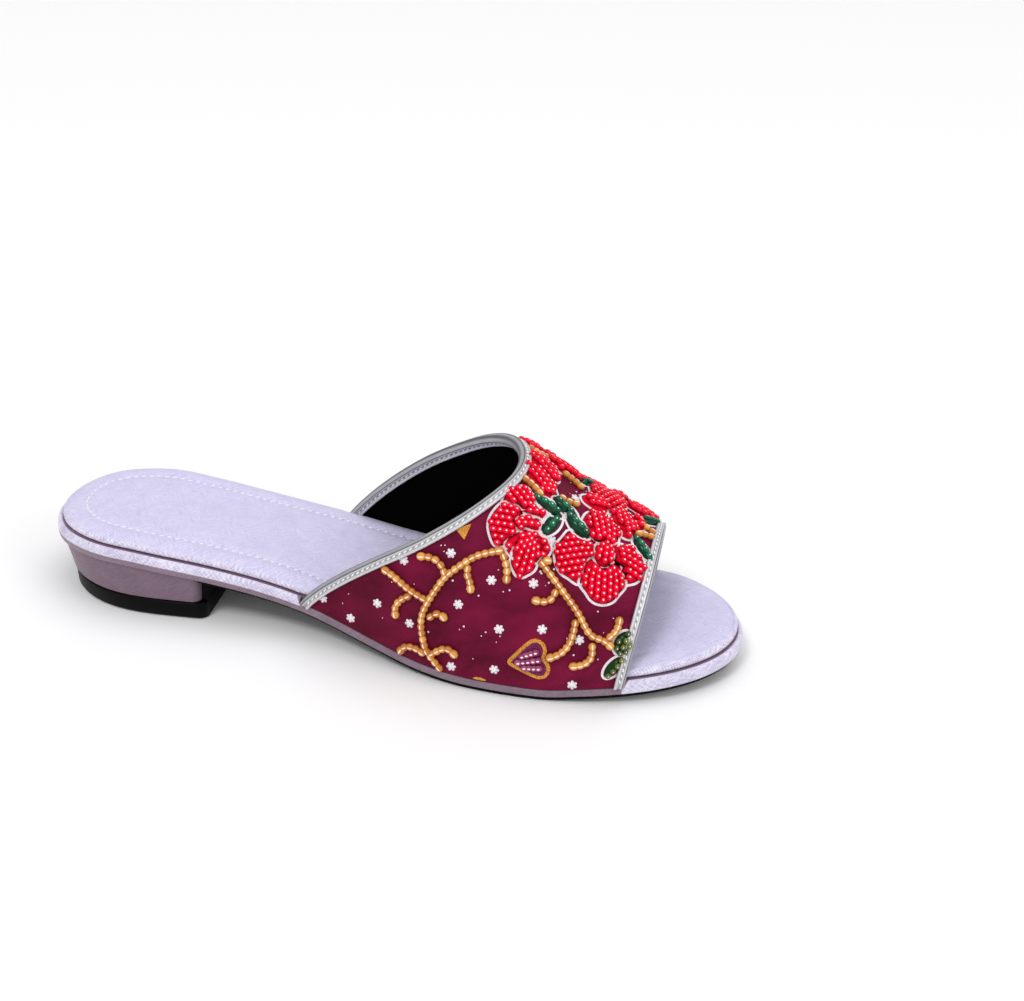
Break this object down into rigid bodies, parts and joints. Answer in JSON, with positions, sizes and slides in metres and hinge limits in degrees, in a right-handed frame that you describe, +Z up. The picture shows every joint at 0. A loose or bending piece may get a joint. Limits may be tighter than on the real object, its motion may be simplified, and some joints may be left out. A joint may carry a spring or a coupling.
{
  "type": "flat shoe",
  "caption": "Left slide mule with a low covered heel, padded sock, domed fabric vamp open at heel and toe, metallic bound edges and raised floral beadwork.",
  "frame": {"origin": "centre of the bounding box, on the floor that the heel lift and the forefoot stand on", "axes": "+X from the heel to the toe, +Y to the lateral side, +Z up"},
  "size_m": [0.2524, 0.0894, 0.0714],
  "materials": {
    "lilac_cover": "satin, finely grained",
    "mauve_cover": "satin, finely grained",
    "black_rubber": "satin",
    "burgundy_fabric": "satin cotton with small printed flowers",
    "silver_binding": "metallic foil, soft gloss",
    "red_beads": "polished",
    "green_beads": "polished",
    "gold_beads": "polished, slightly clear"
  },
  "bodies": {
    "root": {"outsole": "black_rubber", "heel_lift": "black_rubber", "heel_block": "mauve_cover", "sole_board": "lilac_cover", "sock": "lilac_cover", "vamp": "burgundy_fabric", "collar_binding": "silver_binding", "toe_binding": "silver_binding", "flower_back_medial": "red_beads", "flower_front_medial": "red_beads", "sprig_medial": "green_beads", "heart_medial": "gold_beads", "vine_back_medial": "gold_beads", "vine_front_medial": "gold_beads", "flower_back_lateral": "red_beads", "flower_front_lateral": "red_beads", "sprig_lateral": "green_beads", "heart_lateral": "gold_beads", "vine_back_lateral": "gold_beads", "vine_front_lateral": "gold_beads"}
  },
  "joints": []
}
